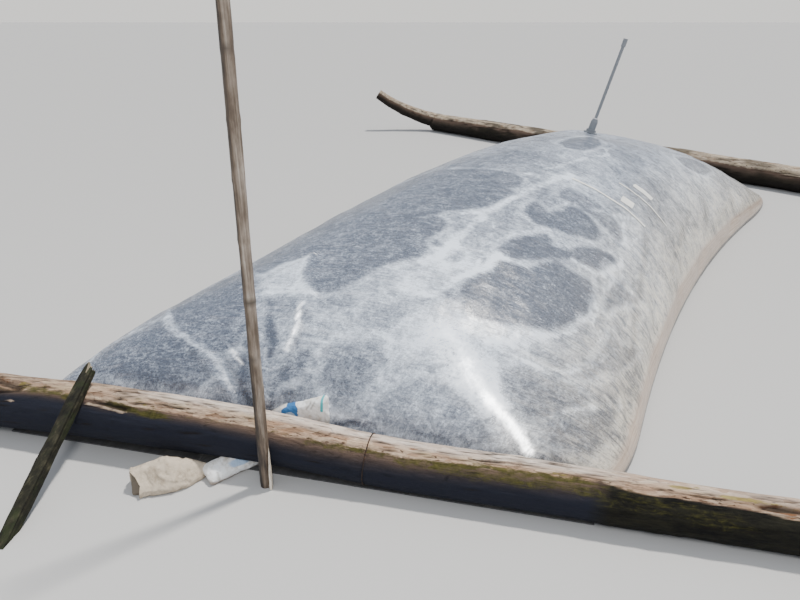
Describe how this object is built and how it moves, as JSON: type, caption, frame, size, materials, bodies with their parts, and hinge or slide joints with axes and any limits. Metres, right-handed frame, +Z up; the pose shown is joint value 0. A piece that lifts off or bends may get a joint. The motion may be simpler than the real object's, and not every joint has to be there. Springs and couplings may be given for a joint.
{
  "type": "biogas digester",
  "caption": "Low clear film gas bag on the ground, held flat by a log at each end, with a pipe outlet on its crown, a bamboo pole, a stake and sacks.",
  "frame": {"origin": "ground level, on the underside of the floor film, halfway along the bag on its axis", "axes": "+Y along the bag from the front log to the far end, +X to the right seen from the front log, +Z up"},
  "size_m": [7.1532, 9.1093, 2.4009],
  "materials": {
    "clear_film": "clear polyethylene film, hazy and glossy",
    "slurry": "dry granular manure crust, matt",
    "log_wood": "barkless log with moss",
    "old_wood": "weathered log with torn bark",
    "bamboo": "old bamboo",
    "dark_timber": "dark mossy timber",
    "split_wood": "fresh split wood",
    "woven_sack": "woven sack cloth, dusty",
    "white_sack": "woven white sack cloth with a plain coloured pattern",
    "grey_plastic": "grey rigid pipe plastic",
    "white_plastic": "white glue",
    "dark_wire": "rusty dark wire",
    "white_tape": "plain white tape"
  },
  "bodies": {
    "root": {"gas_bag_film": "clear_film", "floor_film": "clear_film", "front_tail_film": "clear_film", "rear_tail_film": "clear_film", "slurry_crust": "slurry", "front_log": "log_wood", "rear_log": "old_wood", "rear_log_limb": "old_wood", "bamboo_pole": "bamboo", "pole_foot_splint": "split_wood", "prop_stake": "dark_timber", "log_wire_tie": "dark_wire", "plain_sack": "woven_sack", "printed_sack": "white_sack", "sack_pad": "white_sack", "outlet_inner_nut": "grey_plastic", "outlet_inner_washer": "grey_plastic", "outlet_outer_washer": "grey_plastic", "outlet_lock_nut": "grey_plastic", "outlet_tube": "grey_plastic", "outlet_socket": "grey_plastic", "socket_glue_ring": "white_plastic", "riser_pipe": "grey_plastic", "riser_coupling": "grey_plastic", "film_patch_large": "white_tape", "film_patch_small": "white_tape", "film_strip_front": "white_tape", "film_strip_rear": "white_tape"}
  },
  "joints": []
}
